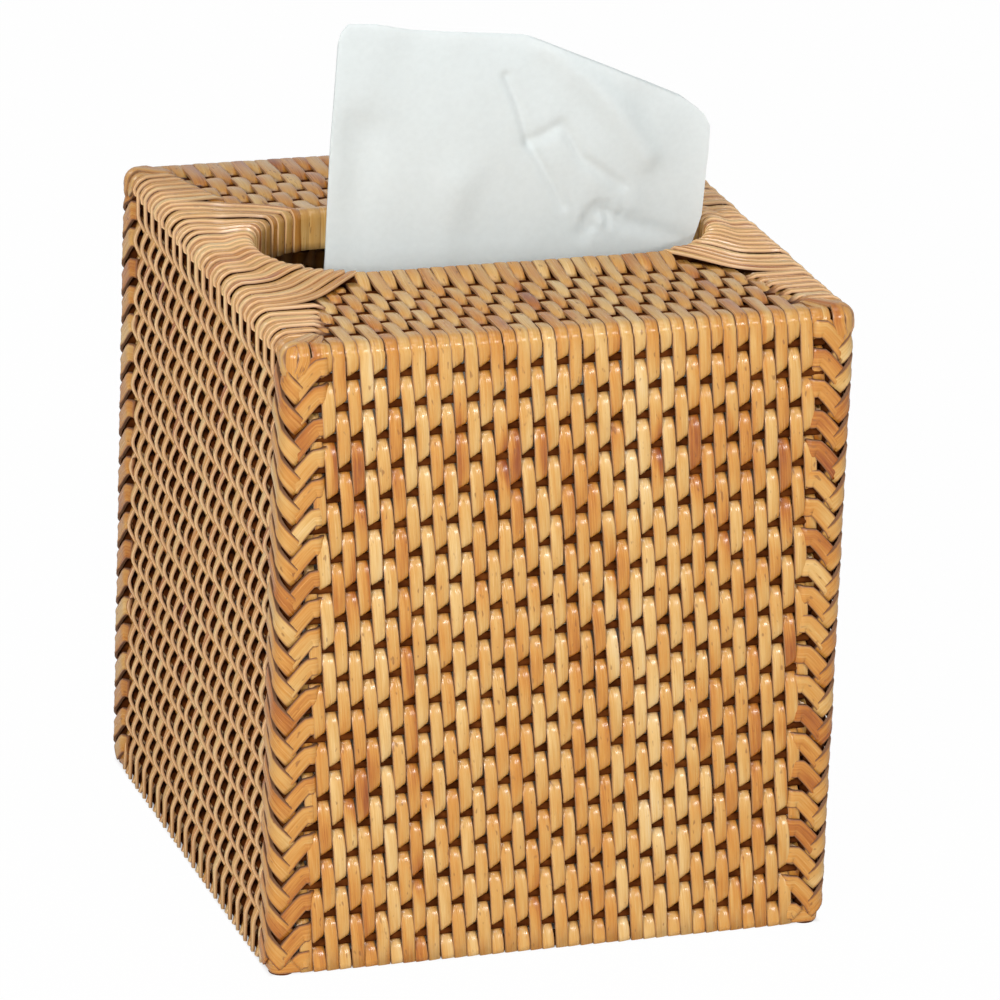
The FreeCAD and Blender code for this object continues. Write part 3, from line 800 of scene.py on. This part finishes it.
# One tissue's edge: (share of its height, extra inset)
LAYER_EDGE = [(0.3, 0.0), (0.7, 0.0), (1.0, 0.9 * MM)]
# Waves of a tissue's edge: depth, length, and how much faster they change up the stack
STACK_WAVE = 0.35 * MM
STACK_WAVE_LENGTH = 14 * MM
STACK_WAVE_RISE = 3


def stack_ring(low, high, inset):
    """Rounded outline of the stack, drawn in by an inset."""
    ring = []
    radius = STACK_RADIUS
    corners = ((high.x, high.y), (low.x, high.y), (low.x, low.y), (high.x, low.y))
    for quarter, (x, y) in enumerate(corners):
        centre = Vector((x - math.copysign(radius, x), y - math.copysign(radius, y), 0))
        for k in range(STACK_AROUND):
            turn = math.pi / 2 * (quarter + k / (STACK_AROUND - 1))
            ring.append(centre + Vector((math.cos(turn), math.sin(turn), 0)) * (radius - inset))
    return ring


def stack_tissues(material):
    """The stack as one form, with a groove between each tissue and the next."""
    low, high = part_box("tissue_stack")
    rng = random.Random("stack")
    rows = [(low.z, FOOT_INSET)]
    step = (high.z - low.z) / STACK_LAYERS
    for k in range(STACK_LAYERS):
        inset = rng.uniform(0.0, LAYER_INSET)
        rows += [(low.z + step * (k + share), inset + extra) for share, extra in LAYER_EDGE]
    rows += [(high.z, inset) for inset in TOP_INSETS]
    around = 4 * STACK_AROUND
    bm = bmesh.new()
    grid = bmesh.ops.create_grid(bm, x_segments=around, y_segments=len(rows) - 1, size=0.5)
    for j, (height, inset) in enumerate(rows):
        shrink = Vector((1, 1, 0)) * max(0.0, inset - ROUND_INSET)
        spots = stack_ring(low + shrink, high - shrink, min(inset, ROUND_INSET))
        for i in range(around + 1):
            spot = spots[i % around]
            at = Vector((spot.x, spot.y, height * STACK_WAVE_RISE)) / STACK_WAVE_LENGTH
            wave = STACK_WAVE * noise.noise(at)
            level = min(high.z, max(low.z, height + wave))
            grid["verts"][j * (around + 1) + i].co = spot + UP * level
    close_seams(bm, around)
    bmesh.ops.recalc_face_normals(bm, faces=bm.faces)
    piece = make_piece(bm, "folded_tissues", material)
    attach(piece, "carton")
    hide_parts("tissue_stack")


# Materials

def node_of(tree, kind, **settings):
    node = tree.nodes.new(kind)
    for name, value in settings.items():
        setattr(node, name, value)
    return node


def join(tree, value, socket):
    """Give a socket a number, or join another socket to it."""
    if isinstance(value, (int, float)):
        socket.default_value = value
    else:
        tree.links.new(value, socket)


def sum_of(tree, kind, first, second):
    """Arithmetic on a socket and a number or another socket."""
    node = node_of(tree, "ShaderNodeMath", operation=kind)
    join(tree, first, node.inputs[0])
    join(tree, second, node.inputs[1])
    return node.outputs[0]


def spread(tree, value, low, high, to_low, to_high):
    """Carry a range of a socket's values to another range."""
    node = node_of(tree, "ShaderNodeMapRange")
    names = ("Value", "From Min", "From Max", "To Min", "To Max")
    for name, given in zip(names, (value, low, high, to_low, to_high)):
        join(tree, given, node.inputs[name])
    return node.outputs[0]


def blend(tree, factor, first, colour):
    """Blend a colour socket towards a fixed colour."""
    node = node_of(tree, "ShaderNodeMix", data_type="RGBA")
    join(tree, factor, node.inputs["Factor"])
    join(tree, first, node.inputs["A"])
    node.inputs["B"].default_value = (*colour, 1)
    return node.outputs["Result"]


def colour_run(tree, value, stops):
    """Colour of a socket's value between (value, colour) stops."""
    node = node_of(tree, "ShaderNodeValToRGB")
    points = node.color_ramp.elements
    while len(points) < len(stops):
        points.new(0.5)
    for point, (place, colour) in zip(points, stops):
        point.position = place
        point.color = (*colour, 1)
    join(tree, value, node.inputs[0])
    return node.outputs[0]


def noise_at(tree, point, scale, detail):
    tex = node_of(tree, "ShaderNodeTexNoise")
    tex.inputs["Scale"].default_value = scale
    tex.inputs["Detail"].default_value = detail
    join(tree, point, tex.inputs["Vector"])
    return tex.outputs["Fac"]


def object_coords(tree):
    return node_of(tree, "ShaderNodeTexCoord").outputs["Object"]


def show_mix(tree, output, share, first, second):
    """Show the first shader with a share of the second."""
    mix = node_of(tree, "ShaderNodeMixShader")
    for value, socket in zip((share, first, second), mix.inputs):
        join(tree, value, socket)
    join(tree, mix.outputs[0], tree.nodes[output].inputs[0])


def new_material(name):
    material = bpy.data.materials.new(name)
    material.use_nodes = True
    tree = material.node_tree
    return material, tree, tree.nodes["Principled BSDF"]


def bumps(tree, shader, height, strength, distance):
    node = node_of(tree, "ShaderNodeBump")
    node.inputs["Strength"].default_value = strength
    node.inputs["Distance"].default_value = distance
    join(tree, height, node.inputs["Height"])
    join(tree, node.outputs[0], shader.inputs["Normal"])


PEEL_STOPS = [
    (0.0, (0.26, 0.055, 0.008)),
    (0.22, (0.46, 0.15, 0.018)),
    (0.42, (0.61, 0.265, 0.046)),
    (0.62, (0.66, 0.36, 0.098)),
    (0.82, (0.75, 0.48, 0.18)),
    (1.0, (0.78, 0.56, 0.28)),
]
# Painted shade: an amber brown as a strip goes in under a rod, and near black in the deepest pockets
AMBER_SHADE = (0.3, 0.085, 0.01)
POCKET_SHADE = (0.045, 0.01, 0.0015)
FLECK = (0.22, 0.07, 0.02)
CUT_EDGE = (0.95, 0.67, 0.37)
# Patterns on a strip: waves in a metre along it, waves across it, detail
FIBRES = (110.0, 10.0, 3.0)
BLOTCHES = (38.0, 0.6, 2.0)
FLECKS = (380.0, 3.0, 1.0)
STAINS = (30.0, 0.4, 0.0)
# Tells the patterns of strips of different tone apart
TONE_SEED = 391.7
# Stretch of each pattern or attribute over which it takes effect
FIBRE_RANGE = (0.2, 0.8)
BLOTCH_RANGE = (0.25, 0.75)
STAIN_RANGE = (0.62, 0.78)
FLECK_RANGE = (0.68, 0.76)
CUT_RANGE = (0.46, 0.495)
AMBER_SHADE_RANGE = (0.0, 0.6)
POCKET_SHADE_RANGE = (0.35, 1.0)
# Most that the patterns change the tone, and the most of each colour laid over it
BLOTCH_TONE = 0.25
FIBRE_TONE = 0.16
STAIN_TONE = 0.4
FLECK_SHARE = 0.6
CUT_SHARE = 0.8
AMBER_SHADE_SHARE = 0.75
POCKET_SHADE_SHARE = 0.96
PEEL_ROUGHNESS = (0.17, 0.3)
POCKET_ROUGHNESS = 0.9
# Strength and depth of the bumps
PEEL_BUMPS = (0.25, 0.3 * MM)


def rattan_peel():
    """Lacquered rattan peel: fibres, tones, flecks, pale cut edges, and painted shade that darkens strips
    towards and in the pockets under the rods.
    """
    material, tree, shader = new_material("rattan_peel")
    tone, along, across, painted_shade = (
        node_of(tree, "ShaderNodeAttribute", attribute_name=name).outputs["Fac"]
        for name in ("tone", "along", "across", "painted_shade")
    )

    def pattern(along_scale, across_scale, detail):
        point = node_of(tree, "ShaderNodeCombineXYZ")
        scaled = ((along, along_scale), (across, across_scale), (tone, TONE_SEED))
        for (value, scale), socket in zip(scaled, point.inputs):
            join(tree, sum_of(tree, "MULTIPLY", value, scale), socket)
        return noise_at(tree, point.outputs[0], 1.0, detail)

    fibres = pattern(*FIBRES)
    blotched = spread(tree, pattern(*BLOTCHES), *BLOTCH_RANGE, -BLOTCH_TONE, BLOTCH_TONE)
    grained = spread(tree, fibres, *FIBRE_RANGE, -FIBRE_TONE, FIBRE_TONE)
    stained = spread(tree, pattern(*STAINS), *STAIN_RANGE, 0.0, STAIN_TONE)
    flecked = spread(tree, pattern(*FLECKS), *FLECK_RANGE, 0.0, FLECK_SHARE)
    cut = spread(tree, sum_of(tree, "ABSOLUTE", across, 0.0), *CUT_RANGE, 0.0, CUT_SHARE)

    shade = sum_of(tree, "ADD", tone, blotched)
    shade = sum_of(tree, "ADD", shade, grained)
    shade = sum_of(tree, "SUBTRACT", shade, stained)
    colour = colour_run(tree, shade, PEEL_STOPS)
    colour = blend(tree, flecked, colour, FLECK)
    colour = blend(tree, cut, colour, CUT_EDGE)
    colour = blend(tree, spread(tree, painted_shade, *AMBER_SHADE_RANGE, 0.0, AMBER_SHADE_SHARE), colour, AMBER_SHADE)
    colour = blend(tree, spread(tree, painted_shade, *POCKET_SHADE_RANGE, 0.0, POCKET_SHADE_SHARE), colour, POCKET_SHADE)
    join(tree, colour, shader.inputs["Base Color"])
    lacquer = spread(tree, fibres, *FIBRE_RANGE, *PEEL_ROUGHNESS)
    dull = sum_of(tree, "MULTIPLY", painted_shade, POCKET_ROUGHNESS)
    join(tree, sum_of(tree, "MAXIMUM", lacquer, dull), shader.inputs["Roughness"])
    shader.inputs["Specular IOR Level"].default_value = 0.6
    bumps(tree, shader, fibres, *PEEL_BUMPS)
    return material


# Painted shade: the core is coloured near black for the shade it lies in, not its own honey tone
ROD_SHADE_STOPS = [(0.3, (0.04, 0.009, 0.001)), (0.5, (0.08, 0.019, 0.003)), (0.7, (0.14, 0.038, 0.006))]
ROD_GRAIN = 260.0


def rattan_core():
    """Round rattan core, its colour painted near black to stand for the shade deep in the weave."""
    material, tree, shader = new_material("rattan_core")
    grain = noise_at(tree, object_coords(tree), ROD_GRAIN, detail=3.0)
    join(tree, colour_run(tree, grain, ROD_SHADE_STOPS), shader.inputs["Base Color"])
    shader.inputs["Roughness"].default_value = 0.8
    shader.inputs["Specular IOR Level"].default_value = 0.03
    return material


TISSUE_COLOUR = (0.82, 0.87, 0.87)
TISSUE_FIBRES = 700.0
STACK_COLOUR = (0.8, 0.83, 0.82)
STACK_FIBRES = 400.0
FIBRE_SHADE = 0.965
LIGHT_THROUGH = 0.25
PAPER_BUMPS = (0.08, 0.2 * MM)


def soft_paper(name, colour, fibre_scale):
    """Tissue: matt, lets some light through, with a fine tangle of fibres."""
    material, tree, shader = new_material(name)
    fibres = noise_at(tree, object_coords(tree), fibre_scale, detail=4.0)
    low = tuple(c * FIBRE_SHADE for c in colour)
    join(tree, colour_run(tree, fibres, [(0.35, low), (0.65, colour)]), shader.inputs["Base Color"])
    shader.inputs["Roughness"].default_value = 0.92
    shader.inputs["Specular IOR Level"].default_value = 0.2
    bumps(tree, shader, fibres, *PAPER_BUMPS)
    glow = node_of(tree, "ShaderNodeBsdfTranslucent")
    glow.inputs["Color"].default_value = (*colour, 1)
    show_mix(tree, "Material Output", LIGHT_THROUGH, shader.outputs[0], glow.outputs[0])
    return material


BOARD_STOPS = [(0.3, (0.73, 0.72, 0.69)), (0.7, (0.79, 0.78, 0.75))]
BOARD_PULP = 1100.0
BOARD_GRAIN = 900.0
BOARD_BUMPS = (0.1, 0.1 * MM)
BOARD_ROUGHNESS = (0.45, 0.6)
MOTTLE_RANGE = (0.3, 0.7)


def white_board():
    """Clay-coated carton board, with the faint mottle of its pulp."""
    material, tree, shader = new_material("white_board")
    coords = object_coords(tree)
    mottle = noise_at(tree, coords, BOARD_PULP, detail=5.0)
    join(tree, colour_run(tree, mottle, BOARD_STOPS), shader.inputs["Base Color"])
    join(tree, spread(tree, mottle, *MOTTLE_RANGE, *BOARD_ROUGHNESS), shader.inputs["Roughness"])
    bumps(tree, shader, noise_at(tree, coords, BOARD_GRAIN, detail=2.0), *BOARD_BUMPS)
    return material


FILM_STOPS = [(0.3, (0.8, 0.83, 0.85)), (0.7, (0.9, 0.92, 0.93))]
FILM_HAZE = 60.0
FILM_ALPHA = (0.25, 0.45)


def clear_film():
    """Thin clear film with a slight haze."""
    material, tree, shader = new_material("clear_film")
    haze = noise_at(tree, object_coords(tree), FILM_HAZE, detail=2.0)
    join(tree, colour_run(tree, haze, FILM_STOPS), shader.inputs["Base Color"])
    shader.inputs["Roughness"].default_value = 0.12
    join(tree, spread(tree, haze, *MOTTLE_RANGE, *FILM_ALPHA), shader.inputs["Alpha"])
    return material


def dress(node, material):
    """Give a CAD node a material."""
    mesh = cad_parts[node].data
    mesh.materials.clear()
    mesh.materials.append(material)


# Stage

FLOOR_HALF = 3.0
FLOOR_GREY = (0.82, 0.82, 0.82, 1)
# Share of plain white that the camera sees on the open floor; it fades out under the cover's edge
FLOOR_WHITE = 0.985
FLOOR_FADE = 3 * MM
WORLD_LIGHT = 0.2


def make_floor():
    """Pale floor that keeps the shadow and looks white to the camera."""
    material, tree, shader = new_material("floor")
    shader.inputs["Base Color"].default_value = FLOOR_GREY
    shader.inputs["Roughness"].default_value = 0.9
    coords = node_of(tree, "ShaderNodeSeparateXYZ")
    join(tree, object_coords(tree), coords.inputs[0])
    away_x = sum_of(tree, "ABSOLUTE", coords.outputs[0], 0.0)
    away_y = sum_of(tree, "ABSOLUTE", coords.outputs[1], 0.0)
    away = sum_of(tree, "MAXIMUM", away_x, away_y)
    open_floor = spread(tree, away, half_width - FLOOR_FADE, half_width, 0.0, FLOOR_WHITE)
    seen = node_of(tree, "ShaderNodeLightPath").outputs["Is Camera Ray"]
    glow = node_of(tree, "ShaderNodeEmission")
    white = sum_of(tree, "MULTIPLY", seen, open_floor)
    show_mix(tree, "Material Output", white, shader.outputs[0], glow.outputs[0])
    bm = bmesh.new()
    bmesh.ops.create_grid(bm, x_segments=1, y_segments=1, size=FLOOR_HALF)
    floor = make_piece(bm, "floor", material, smooth=False)


def make_world():
    """Soft light from all round, with a white background."""
    world = bpy.data.worlds.new("world")
    bpy.context.scene.world = world
    world.use_nodes = True
    tree = world.node_tree
    soft = tree.nodes["Background"]
    soft.inputs["Color"].default_value = (1, 1, 1, 1)
    soft.inputs["Strength"].default_value = WORLD_LIGHT
    white = node_of(tree, "ShaderNodeBackground")
    rays = node_of(tree, "ShaderNodeLightPath").outputs
    seen = sum_of(tree, "MAXIMUM", rays["Is Camera Ray"], rays["Is Transmission Ray"])
    seen = sum_of(tree, "MAXIMUM", seen, rays["Is Glossy Ray"])
    show_mix(tree, "World Output", seen, soft.outputs[0], white.outputs[0])


# Lamps: name, place, width, power
LAMPS = [
    ("key", (-0.96, -1.2, 0.66), 0.4, 14),
    ("fill", (0.55, -1.35, 0.7), 0.17, 6.5),
    ("shine", (-0.3, -1.1, 1.3), 0.22, 2.6),
    ("top", (0.1, -0.3, 1.6), 0.8, 3),
    ("back", (-1.0, 1.1, 1.1), 0.6, 5),
]
LAMP_AIM = Vector((0, 0, 0.1))


def make_lamps():
    for name, place, size, power in LAMPS:
        data = bpy.data.lights.new(name, "AREA")
        data.shape = "DISK"
        data.size = size
        data.energy = power
        light = bpy.data.objects.new(name, data)
        bpy.context.scene.collection.objects.link(light)
        light.location = place
        light.rotation_euler = (LAMP_AIM - Vector(place)).to_track_quat("-Z", "Y").to_euler()


# The scene

make_camera()
make_floor()
make_world()
make_lamps()

peel = rattan_peel()
core = rattan_core()
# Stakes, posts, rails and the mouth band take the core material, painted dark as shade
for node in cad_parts:
    if node.endswith(("_post", "_stakes", "_rails")) or node == "mouth_band":
        dress(node, core)
for side in ("front", "back"):
    strips = wall_strips(side, peel)
    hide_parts("top_" + side + "_weavers")
for side in ("left", "right"):
    strips = wall_strips(side, peel)
    fills = ("front_" + side + "_fill_strips", "back_" + side + "_fill_strips")
    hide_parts("top_" + side + "_fan_strips", *fills)

FRONT_LEFT = Matrix.Translation((-half_width, -half_depth, 0))
MIRROR_X = Matrix.Scale(-1, 4, (1, 0, 0))
MIRROR_Y = Matrix.Scale(-1, 4, (0, 1, 0))
corner_lacing("front_left", FRONT_LEFT, peel)
corner_lacing("front_right", MIRROR_X @ FRONT_LEFT, peel)
corner_lacing("back_left", MIRROR_Y @ FRONT_LEFT, peel)
corner_lacing("back_right", MIRROR_X @ MIRROR_Y @ FRONT_LEFT, peel)

stand_tissue(soft_paper("tissue_paper", TISSUE_COLOUR, TISSUE_FIBRES))
stack_tissues(soft_paper("stacked_tissue", STACK_COLOUR, STACK_FIBRES))
dress("carton_board", white_board())
dress("slot_film", clear_film())

bpy.context.scene.view_settings.view_transform = "Standard"
